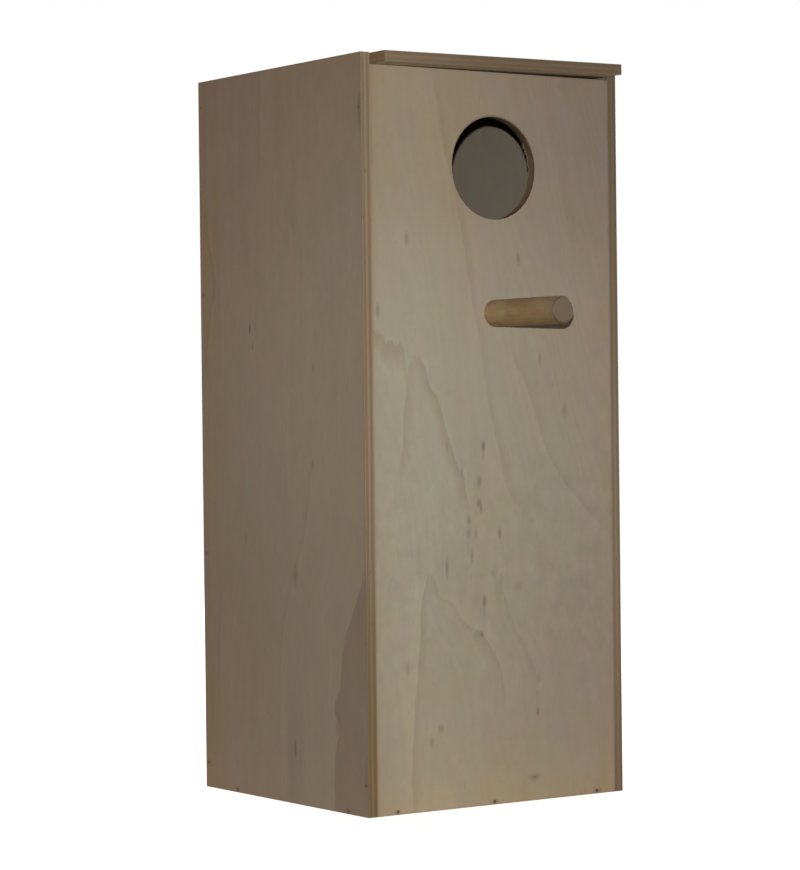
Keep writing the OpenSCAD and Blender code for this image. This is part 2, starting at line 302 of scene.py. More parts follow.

# Each panel: direction across the face grain, along it, and out of the face that shows; its colours; how
# its tone, partly painted light and shade, and its warmth run along and across; and its growth lines.
# A line is its points, as (along, across), and the side that it encloses, then how strong and how wide are
# the dark inside it, the light outside it and, if it has one, the pale or dark zone further inside. A cross
# line's points are (across, along).
# Marks are small dark flecks, as (along, across, half height, half width, strength). Edge is how pale the cut
# edges are, and how much their plies differ
panels = {}
panels["front_wall"] = plainPanel | {
    "across": (1, 0, 0), "out": (0, -1, 0), "seed": 3.1, "pale": "#999380", "warm": "#9e8b6f",
    "pink": "#9c8d80", "edge": (1, 0.8),
    "mottleAlong": [(0, 0.03), (90, 0.05), (150, 0.12), (230, 0.12), (290, 0.05), (420, 0.02),
        (600, 0.03)],
    "pinkAlong": [(0, -0.4), (40, -0.2), (100, 0.1), (180, -0.1), (250, -0.2), (330, 0), (430, 0.15),
        (600, 0.3)],
    "pinkAcross": [(-118, -0.3), (-40, -0.15), (20, 0.1), (60, 0.25), (118, 0.35)], "patchGain": 0.7,
    "pinkGain": 0.6,
    "warmAlong": [(0, 0.7), (40, 0.45), (85, 0.22), (156, 0.05), (300, 0), (367, 0.12), (437, 0.25),
        (507, 0.6), (600, 0.75)],
    "warmAcross": [(-118, 0.3), (-85, 0), (-40, 0), (0, 0.1), (40, 0.1), (80, 0.22), (118, 0.6)],
    # Tone, partly painted light: paler at the foot, standing in for light bounced up from the floor
    "toneAlong": [(0, 0.28), (15, 0.16), (85, -0.02), (156, -0.05), (226, -0.02), (300, 0), (367, 0.01),
        (437, -0.02), (507, -0.09), (577, -0.02), (600, 0.02)],
    "toneAcross": [(-118, -0.09), (-85, 0), (-40, -0.03), (0, -0.05), (40, -0.08), (80, -0.09),
        (118, -0.09)],
    "sway": [(5, 46), (110, 35), (165, 12), (240, 12), (300, -0.5), (375, -15.5), (455, -30.5),
        (600, -60)],
    "contourGain": 0.036, "streakGain": 0.024, "fibreGain": 0.03,
    "lines": [
        ([(361, -77.5), (359, -73.5), (352, -68.8), (344, -66.6), (336.8, -64.1), (329.3, -57.7),
            (318.6, -53), (305.3, -48.9), (291.9, -45.2), (278.5, -40.5), (267.7, -34), (257, -30.9),
            (240, -26.5)], -1, (0.3, 13), (0.05, 7), (0.04, 45)),
        ([(361, -80), (356, -83.2), (349.3, -85.9), (340, -87.5), (325, -88.5), (310, -90), (290, -92.5),
            (270, -95)], 1, (0.22, 13), (0.02, 8)),
        ([(190, -63.5), (170, -73.5), (130, -77.5), (100, -80.5), (50, -84.5), (5, -85.5)], 1, (0.16, 9),
            (0.07, 26), (-0.02, 30)),
        ([(190, -63.5), (178, -60), (169, -56), (166.5, -47), (160, -41), (150, -35.5), (138, -15.5),
            (125, -5.5), (100, 4.5), (80, 6.5)], -1, (0.15, 8), (0.04, 16), (-0.01, 25)),
        ([(585, -57.5), (540, -50.5), (500, -40.5), (455, -30.5), (415, -23.5), (375, -15.5), (330, -7.5),
            (300, -0.5), (260, 9.5), (240, 22.5)], 1, (0.13, 10), (0.035, 26)),
        ([(365, 16), (330, 34.5), (290, 49.5), (265, 64.5), (243, 84.5), (223, 107.5)], 1, (0.12, 12),
            (0.035, 24), (-0.01, 24)),
        ([(585, 49.5), (550, 56.5), (510, 66.5), (440, 80)], 1, (0.08, 12), (0.02, 20)),
        ([(192, -11), (185, 0), (170.6, 6), (152, 13.5), (139.6, 19.5), (127, 27), (114.5, 33), (102, 38),
            (83.5, 40.5), (60, 41.5)], -1, (0.1, 9), (0.03, 20)),
    ],
    "crossLines": [
        ([(-135, 384), (-118, 381), (-111.6, 380), (-105.4, 374.2), (-97.4, 372.2), (-91, 371),
            (-88.6, 363.8), (-87.8, 353.2), (-86.5, 344)], -1, (0.34, 27), (0.03, 8), (0.05, 60)),
    ],
    "marks": [(289, -12.6, 3.6, 1.3, 0.5), (283, -12.8, 3.4, 0.9, 0.2), (269, -34, 3.4, 0.9, 0.2),
        (261.5, -17, 4, 2, 0.3), (243.5, -17.4, 2.6, 2, 0.42), (239.5, -15.6, 2.6, 1.2, 0.4),
        (230.5, -27.9, 3, 1.5, 0.34), (219.8, -28, 4.2, 1.8, 0.28), (211, -28.6, 6.5, 1, 0.14),
        (219.6, -20.8, 3.2, 1.2, 0.26), (201.7, -25.1, 4.2, 1.3, 0.3), (218.8, 2.8, 3.2, 1.3, 0.4),
        (192.3, -49.8, 6.4, 1.1, 0.36), (290, -48.5, 3.6, 1.2, 0.16), (164.4, -13.1, 3.8, 1.5, 0.44),
        (157, -13.4, 4, 1.2, 0.16), (138.5, -16.4, 2, 1.5, 0.36), (138, -20, 3, 4, 0.16),
        (175, 20.6, 3, 3, 0.18), (187, -3.6, 2, 2.4, 0.16), (181, 3.6, 4, 1.3, 0.16),
        (455, -85.5, 4, 1.4, 0.3), (398, -114, 4.4, 1.4, 0.3), (441, 24.5, 4, 1.3, 0.32),
        (360, 45.5, 4, 1.3, 0.28), (318, 70.5, 4.6, 2.2, 0.22), (115, -89, 4, 1.4, 0.22),
        (100, 41, 3, 1.3, 0.2), (72, 39.5, 2.6, 1.2, 0.3), (65, -57.5, 2.6, 2.2, 0.3),
        (55, -66.5, 3.8, 1.4, 0.26), (19, 36, 2.6, 4.6, 0.26), (19, 36, 1.2, 2.6, 0.5),
        (0, -118, 50, 28, 0.1)],
}
panels["left_wall"] = plainPanel | {
    "across": (0, 1, 0), "out": (-1, 0, 0), "seed": 11.7, "pale": "#867864", "warm": "#8b6e4a",
    "pink": "#8b7565", "edge": (1.02, 0.8),
    "mottleAlong": [(0, 0.03), (300, 0.03), (420, 0.06), (600, 0.06)],
    "pinkAlong": [(0, 0.2), (40, 0.05), (100, -0.05), (330, -0.25), (400, 0), (600, 0.45)],
    "pinkAcross": [(-124, -0.3), (-60, -0.15), (0, -0.05), (60, 0.2), (100, 0.05), (124, -0.4)],
    "edgeTint": "#fff9df",
    "edgeTintAlong": [(0, 0.7), (40, 1), (120, 0.9), (170, 0.3), (220, 0), (600, 0)],
    "edgeAlong": [(0, -0.15), (20, -0.2), (100, -0.23), (200, -0.1), (300, 0.03), (400, 0), (500, 0.08),
        (560, 0.16), (600, 0.36)],
    "patchGain": 0.4, "pinkGain": 0.3,
    "warmAlong": [(0, 0.25), (85, 0.1), (300, 0), (400, 0.15), (507, 0.5), (575, 0.7), (600, 0.95)],
    "warmAcross": [(-124, -0.35), (-60, -0.3), (0, -0.05), (60, 0.15), (95, 0.3), (124, 0.55)],
    # Tone, partly painted light: paler at the foot, standing in for light bounced up from the floor
    "toneAlong": [(0, 0.2), (15, 0.1), (85, -0.06), (156, -0.1), (300, -0.03), (400, -0.03), (507, -0.1),
        (575, -0.09), (600, -0.1)],
    "toneAcross": [(-124, -0.05), (-90, -0.03), (-60, -0.02), (0, -0.05), (40, -0.1), (80, -0.13),
        (110, -0.16), (124, -0.25)],
    "sway": [(5, 4), (90, 4), (135, -1), (185, -18.5), (230, -38.5), (280, -48.5), (600, -75)],
    "contourGain": 0.02, "fibreGain": 0.03,
    "lines": [
        ([(280, -48.5), (230, -38.5), (185, -18.5), (135, -1), (90, 4), (5, 4)], 1, (0.1, 8), (0.035, 26)),
        ([(191, -119.8), (174.8, -113), (156.5, -103), (128.9, -89.6), (100, -85.8), (81, -76.2),
            (67.6, -85.1), (50.8, -78.2), (20, -75.9), (-60, -75)], -1, (0.41, 400), (0, 10), (-0.03, 60)),
        ([(175, 94), (125, 99), (50, 101.5)], 1, (0.1, 6), (0, 10), (-0.03, 20)),
        ([(500, 113), (476, 111.7), (455, 106.6), (439, 101.4), (426, 99.8), (407, 105.8), (380, 112),
            (350, 117)], 1, (0.2, 7), (0.02, 8), (-0.02, 20)),
    ],
    "marks": [(388, 45.4, 3.2, 1, 0.75), (373, 41, 2.6, 1, 0.34), (451, 47, 9, 4.5, 0.1),
        (432, 34, 6, 3.5, 0.08), (474, -24, 7, 4, 0.08), (461, -13, 6, 4, 0.08), (573, -36, 6, 3.5, 0.08),
        (578, -63, 6, 4, 0.08), (431, -36, 5, 3, 0.07), (554, -121.5, 11, 1.8, 0.34),
        (33, -121, 10, 1.6, 0.22), (354, -51, 3, 1.5, 0.22), (215, 55, 4, 2, 0.2),
        (186, -21, 6.5, 2.6, 0.3), (275, -48.5, 3.4, 1.6, 0.26), (68, -82, 8, 3, 0.26),
        (44.5, -18, 7, 1.6, 0.55), (46, -16.5, 13, 5.5, 0.16), (48, -15.5, 48, 9, 0.17)],
}
panels["right_wall"] = plainPanel | {
    "across": (0, 1, 0), "out": (1, 0, 0), "seed": 27.3, "pale": "#948a75", "warm": "#917e63",
    "pink": "#948474", "inner": "#827869", "edge": (1, 0.6), "edgeTint": "#f1f7ff",
    "edgeTintAlong": [(0, 0.1), (150, 0.5), (240, 1), (330, 0.7), (600, 0.4)],
    "edgeAlong": [(0, 0), (100, 0.05), (200, 0.17), (260, 0.19), (320, 0.1), (400, -0.04), (500, -0.08),
        (600, -0.02)],
    "warmAlong": [(0, 0.5), (90, 0.1), (500, 0.1), (600, 0.7)],
    "warmAcross": [(-124, 0.4), (0, 0.1), (124, 0.5)],
    "toneAlong": [(0, -0.04), (60, 0), (540, 0), (600, -0.06)],
    "toneAcross": [(-124, -0.1), (-90, 0), (90, 0), (124, -0.1)],
    "sway": [(5, 20), (150, 8), (300, -12), (450, -30), (600, -36)],
    "lines": [
        ([(470, 2), (420, 14), (350, 24), (250, 30), (120, 33), (-20, 34)], -1, (0.28, 5), (0.05, 10),
            (0.03, 40)),
        ([(470, -4), (410, -20), (330, -34), (220, -42), (100, -46), (-20, -47)], 1, (0.24, 6), (0.04, 12),
            (0.02, 30)),
        ([(330, 0), (280, 12), (200, 18), (90, 20), (-20, 20)], -1, (0.18, 7), (0.04, 12), (-0.02, 20)),
        ([(330, -3), (270, -15), (190, -24), (80, -27), (-20, -28)], 1, (0.18, 7), (0.03, 12),
            (-0.02, 20)),
        ([(620, 50), (520, 58), (400, 72), (260, 84), (120, 90)], -1, (0.14, 9), (0.03, 20)),
    ],
    "marks": [(402, 38, 3.6, 1.4, 0.4), (226, 12, 4, 1.4, 0.4), (205, 15, 3.4, 1.2, 0.35),
        (287, -61, 4, 1.6, 0.25), (131, 70, 4, 1.4, 0.25), (92, -20, 3.6, 1.4, 0.25),
        (490, -75, 4, 1.6, 0.2), (176, -44, 2.6, 4.4, 0.26), (176, -44, 1.2, 2.4, 0.45)],
}
panels["back_wall"] = plainPanel | {
    "across": (1, 0, 0), "out": (0, 1, 0), "seed": 41.9, "pale": "#968c77", "warm": "#928064",
    "pink": "#968676", "edge": (0.95, 0.7), "warmAlong": [(0, 0.5), (90, 0.1), (500, 0.1), (600, 0.6)],
    "warmAcross": [(-119, 0.4), (0, 0.1), (119, 0.4)],
    "toneAlong": [(0, -0.04), (60, 0), (540, 0), (600, -0.05)],
    "toneAcross": [(-119, -0.08), (-90, 0), (90, 0), (119, -0.08)],
    "sway": [(5, -18), (170, -6), (320, 15), (470, 22), (600, 44)],
    "lines": [
        ([(620, 30), (500, 22), (380, 8), (300, -8), (200, -26), (100, -36), (-20, -40)], 1, (0.22, 7),
            (0.05, 16), (0.02, 40)),
        ([(430, 46), (380, 57), (300, 64), (180, 68), (60, 70)], -1, (0.2, 6), (0.04, 14), (0.03, 30)),
        ([(430, 42), (370, 33), (300, 28), (210, 25), (120, 24)], 1, (0.18, 6), (0.03, 14), (0.02, 20)),
        ([(600, -70), (480, -74), (330, -86), (180, -92)], -1, (0.14, 9), (0.03, 20)),
    ],
    "marks": [(251, 26, 4, 1.4, 0.4), (233, 31, 3.4, 1.3, 0.35), (214, 24, 4, 1.3, 0.35),
        (348, -52, 3.4, 1.4, 0.25), (156, -70, 4, 1.5, 0.25), (88, 64, 3.6, 1.3, 0.25),
        (470, 88, 4, 1.4, 0.2), (412, 18, 2.8, 4.6, 0.26), (412, 18, 1.3, 2.6, 0.45)],
}
panels["floor_panel"] = plainPanel | {
    "across": (0, 1, 0), "along": (1, 0, 0), "out": (0, 0, -1), "seed": 57.2, "pale": "#948a74",
    "warm": "#8f7d62", "pink": "#938374", "edge": (0.95, 0.7),
    "warmAlong": [(-119, 0.4), (0, 0.1), (119, 0.4)], "warmAcross": [(-115, 0.4), (0, 0.1), (115, 0.4)],
    "toneAlong": [(-119, -0.05), (0, 0), (119, -0.05)],
    "toneAcross": [(-115, -0.06), (0, 0), (115, -0.06)],
    "sway": [(-119, -10), (-40, 4), (40, 12), (119, 6)],
    "lines": [
        ([(-130, 30), (-60, 24), (20, 12), (130, 4)], -1, (0.2, 7), (0.04, 14), (0.02, 30)),
    ],
    "marks": [(35, 22, 3.6, 1.4, 0.35), (-60, -40, 3.6, 1.4, 0.25), (-30, -62, 2.6, 4, 0.3)],
}
panels["lid"] = plainPanel | {
    "across": (0, 1, 0), "along": tuple(lidAlong), "out": tuple(lidUp), "seed": 73.6, "pale": "#958b76",
    "warm": "#917f64", "pink": "#958575", "inner": "#98896f", "edge": (1, 0.5),
    "edgeAlong": [(-119, 0.15), (-60, 0.02), (0, -0.1), (60, -0.06), (119, 0.1)], "endTint": "#e6d9c4",
    "warmAlong": [(-119, 0.4), (0, 0.1), (119, 0.4)], "warmAcross": [(-144, 0.6), (-60, 0.1), (124, 0.3)],
    "toneAlong": [(-119, -0.05), (0, 0), (119, -0.05)],
    "toneAcross": [(-144, -0.08), (-90, 0), (124, -0.05)],
    "sway": [(-119, 20), (-40, 6), (40, -10), (119, -30)],
    "lines": [
        ([(-130, -40), (-60, -52), (0, -58), (70, -60), (130, -59)], 1, (0.22, 7), (0.04, 14), (0.02, 40)),
        ([(-40, 20), (0, 34), (60, 42), (130, 45)], -1, (0.2, 6), (0.04, 14), (0.03, 30)),
        ([(-40, 16), (10, 4), (70, -2), (130, -4)], 1, (0.18, 6), (0.04, 14), (0.02, 20)),
    ],
    "marks": [(61, 44, 4, 1.4, 0.35), (40, 47, 3.4, 1.3, 0.35), (-40, -62, 3.6, 1.4, 0.25),
        (22, 90, 4, 1.3, 0.25), (70, -20, 2.6, 4.2, 0.28)],
}


def throughPoints(add, value, points):
    # A smooth curve through (in, out) pairs, held level past its ends
    points = sorted(points)
    first, last = points[0][0], points[-1][0]
    low, high = min(p[1] for p in points), max(p[1] for p in points)
    high = max(high, low + 0.01)    # a level curve needs some range too
    place = add("MapRange", [value, first, last])
    curve = add("FloatCurve", {"Value": place})
    track = curve.mapping.curves[0]
    spots = [((x - first) / (last - first), (y - low) / (high - low)) for x, y in points]
    track.points[0].location, track.points[1].location = spots[0], spots[-1]
    for spot in spots[1:-1]:
        track.points.new(*spot)
    curve.mapping.update()
    return add("MapRange", {"Value": curve, "To Min": low, "To Max": high}, clamp=False)


def growthLine(add, run, far, jag, points, side, dark, light, inner=(0.0, 20)):
    # A growth line whose place far is given along run: dark just inside, light outside, fading at both
    # ends. Returns how dark and how light it makes the wood
    off = add("Math", [far, throughPoints(add, run, points)], "SUBTRACT")
    off = add("Math", [off, jag], "ADD")
    inside = add("Math", [off, side], "MULTIPLY")
    start, *_, stop = sorted(p[0] for p in points)
    fadeIn, fadeOut = (share * (stop - start) for share in plyLook["lineFade"])
    reach = add("MapRange", [run, start - fadeIn, start + fadeIn], **smooth)
    ending = add("MapRange", [run, stop + fadeOut, stop - fadeOut], **smooth)
    reach = add("Math", [reach, ending], "MULTIPLY")
    within = add("MapRange", [inside, *plyLook["lineRim"]], **smooth)
    beyond = add("Math", [1.0, within], "SUBTRACT")
    zones = []
    for (gain, width), way, mask in ((dark, 1, within), (light, -1, beyond), (inner, 1, within)):
        zone = add("MapRange", [inside, 0.0, way * width, gain, 0.0], **smooth)
        zone = add("Math", [zone, mask], "MULTIPLY")
        zones.append(add("Math", [zone, reach], "MULTIPLY"))
    return zones[0], add("Math", zones[1:], "ADD")


def spotMask(add, across, along, spots, jag):
    # The strongest of several soft upright ovals: (along, across, half height, half width, strength)
    strongest = 0.0
    for high, aside, halfHigh, halfWide, strength in spots:
        upAway = add("Math", [along, high], "SUBTRACT")
        sideAway = add("Math", [across, aside], "SUBTRACT")
        waver = plyLook["speckWaver"] * halfWide
        sideAway = add("Math", [jag, waver, sideAway], "MULTIPLY_ADD")
        away = add("CombineXYZ", [upAway, sideAway])
        away = add("VectorMath", [away, (1 / halfHigh, 1 / halfWide, 1)], "MULTIPLY")
        away = add("VectorMath", [away], "LENGTH")
        mask = add("MapRange", [away, *plyLook["speckRim"], 0.0, strength], **smooth)
        strongest = add("Math", [strongest, mask], "MAXIMUM")
    return strongest


def stained(add, colour, mask, tint, strength=1.0):
    # Darkens the wood through a mask, towards a tint
    fade = add("Math", [mask, strength], "MULTIPLY")
    return add("Mix", [fade, colour, tint], data_type="RGBA", blend_type="MULTIPLY")


def grainNoise(add, place, size, detail, rough=0.5):
    # Noise drawn out along the grain; size is how long it is on each axis
    waves = [1 / length for length in size] + [1] * (3 - len(size))
    place = add("VectorMath", [place, waves], "MULTIPLY")
    return add("TexNoise", {"Vector": place, "Scale": 1.0, "Detail": detail, "Roughness": rough})


def centred(add, value, gain, added=0.0):
    # Noise turned to run evenly above and below nothing, then added on
    middle = add("Math", [value, 0.5], "SUBTRACT")
    return add("Math", [middle, 2 * gain, added], "MULTIPLY_ADD")


def bradSpots(panel, low, high):
    # Where brads were driven into this panel's outer face, as (along, across): their heads are flush with
    # it, and they run straight in
    out, across, along = (Vector(panel[key]) for key in ("out", "across", "along"))
    face = max(low.dot(out), high.dot(out))
    spots = []
    for node in nodes:
        if "brad" not in node:
            continue
        bradLow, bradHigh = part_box(node)
        middle = (bradLow + bradHigh) / 2
        tip = max(bradLow.dot(out), bradHigh.dot(out))
        if abs(tip - face) < 0.1 * mm and abs((bradHigh - bradLow).dot(out)) > 10 * mm:
            spots.append((middle.dot(along) / mm, middle.dot(across) / mm))
    return spots


def placeOnPanel(add, spot, normal, name, panel):
    # Where a shaded point lies: across and along the face grain, and its level through the plies, from 0 at
    # the inner face to 1 at the outer; and which way its surface faces
    look = plyLook
    across, along, out = (
        add("VectorMath", [spot, panel[way]], "DOT_PRODUCT") for way in ("across", "along", "out"))
    facing, facingAlong = (
        add("VectorMath", [normal, panel[way]], "DOT_PRODUCT") for way in ("out", "along"))
    middle = sum(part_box(name), Vector()).dot(Vector(panel["out"])) / 2 / mm
    depth = add("Math", [out, middle], "SUBTRACT")
    wander = centred(add, grainNoise(add, spot, look["wander"], 1.0), look["wanderGain"] / 2, 0.5)
    level = add("Math", [depth, 1 / look["thickness"], wander], "MULTIPLY_ADD")
    inner = add("Math", [facing, -0.5], "LESS_THAN")
    outer = add("Math", [1.0, inner], "SUBTRACT")
    seed = add("Math", [inner, look["innerSeed"], panel["seed"]], "MULTIPLY_ADD")
    flat = add("CombineXYZ", [across, along, seed])
    jag = centred(add, grainNoise(add, flat, look["jag"], 3.0, 0.6), look["jagReach"])
    return SimpleNamespace(
        spot=spot, across=across, along=along, level=level, facing=facing, facingAlong=facingAlong,
        inner=inner, outer=outer, seed=seed, flat=flat, jag=jag)


def faceTone(add, panel, at, fibre, streak, blotch):
    # How much paler than its colour the face is, painted light included, and how dark its growth lines are
    look = plyLook
    swayed = add("Math", [at.across, throughPoints(add, at.along, panel["sway"])], "SUBTRACT")
    contourAt = add("CombineXYZ", [swayed, at.along, at.seed])
    contour = grainNoise(add, contourAt, look["contour"], 1.5, 0.4)
    ring = add("Math", [contour, look["contourTurns"], at.jag], "MULTIPLY_ADD")
    ring = add("Math", [ring], "SINE")
    tone = centred(add, fibre, panel["fibreGain"])
    tone = centred(add, streak, panel["streakGain"], tone)
    tone = centred(add, blotch, look["blotchGain"], tone)
    tone = add("Math", [ring, panel["contourGain"] / 2, tone], "MULTIPLY_ADD")
    if "mottleAlong" in panel:
        mottle = centred(add, grainNoise(add, at.flat, look["mottle"], 2.0, 0.55), 1.0)
        gain = throughPoints(add, at.along, panel["mottleAlong"])
        tone = add("Math", [mottle, gain, tone], "MULTIPLY_ADD")
    runs = [(at.along, at.across, at.jag, line) for line in panel["lines"]]
    if "crossLines" in panel:
        feather = centred(add, grainNoise(add, at.flat, look["feather"], 2.0, 0.7), look["featherReach"])
        runs += [(at.across, at.along, feather, line) for line in panel["crossLines"]]
    dark = 0.0
    for run, far, jag, line in runs:
        lineDark, glow = growthLine(add, run, far, jag, *line)
        dark = add("Math", [dark, lineDark], "MAXIMUM")
        tone = add("Math", [tone, glow], "ADD")
    # The tone curves are partly the wood's own and partly painted light, such as a paler foot
    for way, value in (("toneAlong", at.along), ("toneAcross", at.across)):
        tone = add("Math", [tone, throughPoints(add, value, panel[way])], "ADD")
    return tone, dark


def faceWood(add, name, panel, at):
    # The faces: bare veneer, warmer and pinker in places, with growth lines, flecks, pores and dulled rims.
    # Returns its colour, and the fibre, streak and pore noise that its bump and roughness use
    look = plyLook
    low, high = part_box(name)
    fibre = grainNoise(add, at.flat, look["fibre"], 2.0, 0.7)
    streak = grainNoise(add, at.flat, look["streak"], 3.0, 0.6)
    blotch = grainNoise(add, at.flat, look["blotch"], 3.0, 0.55)
    patch = grainNoise(add, at.flat, look["patch"], 2.0)
    tone, dark = faceTone(add, panel, at, fibre, streak, blotch)
    ends = [warmth * panel["patchGain"] for warmth in look["patchWarmth"]]
    warmth = add("MapRange", [patch, *noiseSpan, *ends], clamp=False)
    pinkness = add("MapRange", [blotch, *look["pinkShown"], 0.0, panel["pinkGain"]])
    for way, value in (("Along", at.along), ("Across", at.across)):
        warmth = add("Math", [warmth, throughPoints(add, value, panel["warm" + way])], "ADD")
        if "pink" + way in panel:
            added = throughPoints(add, value, panel["pink" + way])
            pinkness = add("Math", [pinkness, added], "ADD")
    wood = panel["pale"]
    for amount, other in ((warmth, "warm"), (pinkness, "pink"), (at.inner, "inner")):
        amount = add("Clamp", {"Value": amount})
        wood = add("Mix", [amount, wood, panel[other]], data_type="RGBA")
    hue, gain = grainNoise(add, at.flat, look["hue"], 2.0, 0.75).outputs["Color"], look["hueGain"]
    hue = add("VectorMath", [hue, (gain,) * 3, (1 - gain / 2,) * 3], "MULTIPLY_ADD")
    wood = add("VectorMath", [wood, hue], "MULTIPLY")
    calm = add("MapRange", {"Value": at.inner, "To Min": 1.0, "To Max": look["innerCalm"]})
    scale = add("Math", [tone, calm, 1.0], "MULTIPLY_ADD")
    wood = add("VectorMath", [wood, scale], "SCALE")

    pore = grainNoise(add, at.flat, look["pore"], 0.0)
    pore = add("MapRange", [pore, *look["poreShown"]])
    brads = [spot + look["stain"] for spot in bradSpots(panel, low, high)]
    marks = spotMask(add, at.across, at.along, panel["marks"] + brads, at.jag)
    dark, marks = (add("Math", [mask, at.outer], "MULTIPLY") for mask in (dark, marks))
    wood = stained(add, wood, dark, look["lineTint"])
    wood = stained(add, wood, pore, look["speckTint"], look["poreGain"])
    wood = stained(add, wood, marks, look["speckTint"])

    # The band beside each edge, dulled by handling
    beside = 1000   # far from any edge, to begin with
    for value, way in ((at.across, "across"), (at.along, "along")):
        ends = sorted((low.dot(Vector(panel[way])) / mm, high.dot(Vector(panel[way])) / mm))
        fromEnd = add("Math", [value, sum(ends) / 2], "SUBTRACT")
        fromEnd = add("Math", [fromEnd], "ABSOLUTE")
        fromEnd = add("Math", [(ends[1] - ends[0]) / 2, fromEnd], "SUBTRACT")
        beside = add("Math", [beside, fromEnd], "MINIMUM")
    beside = add("Math", [at.jag, look["rimWaver"], beside], "MULTIPLY_ADD")
    rim = add("MapRange", [beside, look["rimWidth"], 0.0], **smooth)
    return stained(add, wood, rim, look["rimTint"], look["rimGain"]), fibre, streak, pore


def cutEdge(add, panel, at):
    # The cut edges: the level picks the ply, whose grain runs along the edge or points out of it.
    # Returns their colour, and the height of their saw marks and sunk glue lines
    look = plyLook
    reach = look["glueLine"] / look["thickness"]
    cross, glue = add("ValToRGB", [at.level]), add("ValToRGB", [at.level])
    cross.color_ramp.interpolation = "CONSTANT"
    plies = [(end, (i + 1) % 2) for i, end in enumerate(look["layers"])]
    lines = [(end + step, value) for end in look["layers"]
             for step, value in ((-reach, 0), (0, 1), (reach, 0))]
    for ramp, stops in ((cross, plies), (glue, lines)):
        elements = ramp.color_ramp.elements
        elements.remove(elements[1])
        elements[0].color = (0, 0, 0, 1)
        for stop, value in stops:
            elements.new(stop).color = (value, value, value, 1)
    alongEdge = add("Math", [at.facingAlong, 2.0], "POWER")
    endGrain = add("Math", [cross, alongEdge], "SUBTRACT")
    endGrain = add("Math", [endGrain], "ABSOLUTE")
    edgeAt = add("CombineXYZ", [at.across, at.along, at.level])
    run = grainNoise(add, edgeAt, look["run"], 3.0, 0.65)
    cut = grainNoise(add, edgeAt, look["cut"], 3.0, 0.7)
    longWood = add("Mix", [run, *look["longGrain"]], data_type="RGBA")
    endWood = add("Mix", [cut, *look["endGrain"]], data_type="RGBA")
    edgeTone, contrast = panel["edge"]
    endFade = add("MapRange", [endGrain, 0.0, 1.0, 0.5 - contrast / 2, 0.5 + contrast / 2])
    edge = add("Mix", [endFade, longWood, endWood], data_type="RGBA")
    scale = throughPoints(add, at.along, panel["edgeAlong"])
    scale = add("Math", [scale, edgeTone], "ADD")
    edge = add("VectorMath", [edge, scale], "SCALE")
    if "edgeTint" in panel:
        edge = stained(add, edge, throughPoints(add, at.along, panel["edgeTintAlong"]), panel["edgeTint"])
    if "endTint" in panel:
        edge = stained(add, edge, alongEdge, panel["endTint"])
    glueFade = add("Math", [glue, look["glueDepth"] * contrast], "MULTIPLY")
    gap = grainNoise(add, edgeAt, look["gap"], 2.0)
    gap = add("MapRange", [gap, *look["gapShown"], 0.0, look["gapGain"]])
    for mask in (glueFade, gap):
        edge = add("Mix", [mask, edge, look["glue"]], data_type="RGBA")
    height = add("Math", [cut, look["cutHeight"]], "MULTIPLY")
    return edge, add("Math", [glueFade, look["glueHeight"], height], "MULTIPLY_ADD")


def sawnHole(add, at, wood, edge):
    # The entrance: its wall lighter low down, darker towards its top; its rim rubbed, with painted shade
    look = plyLook
    middle, radius = Vector(entrance["pos_m"]) / mm, entrance["dims"]["r_mm"]
    fromHole = add("VectorMath", [at.spot, middle], "SUBTRACT")
    fromHole = add("VectorMath", [fromHole, (1, 0, 1)], "MULTIPLY")
    fromHole = add("VectorMath", [fromHole], "LENGTH")
    sawn = add("Math", [fromHole, radius + look["sawDepth"]], "LESS_THAN")
    low, high = (middle.z + above for above in look["scorch"])
    higherUp = add("MapRange", [at.along, low, high], **smooth)
    shades = [throughPoints(add, at.level, look[key]) for key in ("sawLow", "sawHigh")]
    shade = add("Mix", [higherUp, *shades], data_type="FLOAT")
    shade = centred(add, grainNoise(add, at.spot, look["tornSize"], 3.0, 0.7), look["torn"] / 2, shade)
    shade = add("Mix", [sawn, 1.0, shade], data_type="FLOAT")
    # Painted shade: the face round the top of the hole is darkened for its rounded edge, and rubbed
    width, strength = look["eased"]
    eased = add("MapRange", [fromHole, radius + width, radius, 0.0, strength], **smooth)
    eased = add("Math", [eased, higherUp], "MULTIPLY")
    edge = stained(add, edge, sawn, look["sawTint"])
    edge = add("VectorMath", [edge, shade], "SCALE")
    return stained(add, wood, eased, look["speckTint"]), edge


def makePlywood(name, panel):
    # Birch-faced plywood, bare and sanded: pale dull faces with faint growth lines and small dark flecks,
    # and cut edges where long-grain and end-grain plies alternate
    look = plyLook
    material, add, spot, normal = startMaterial("sandedPlywood_" + name)
    at = placeOnPanel(add, spot, normal, name, panel)
    wood, fibre, streak, pore = faceWood(add, name, panel, at)
    edge, edgeHeight = cutEdge(add, panel, at)
    if name == "front_wall":
        wood, edge = sawnHole(add, at, wood, edge)
    onFace = add("Math", [at.facing], "ABSOLUTE")
    onFace = add("MapRange", [onFace, *look["facing"]])
    colour = add("Mix", [onFace, edge, wood], data_type="RGBA")
    rough = add("MapRange", [streak, *noiseSpan, *look["faceRough"]])
    rough = add("Mix", [onFace, look["edgeRough"], rough], data_type="FLOAT")
    height = add("Math", [fibre, look["fibreHeight"]], "MULTIPLY")
    height = add("Math", [pore, look["poreHeight"], height], "MULTIPLY_ADD")
    height = add("Mix", [onFace, edgeHeight, height], data_type="FLOAT")
    finishMaterial(add, colour, rough, height, look["bump"], specular=look["specular"])
    return material


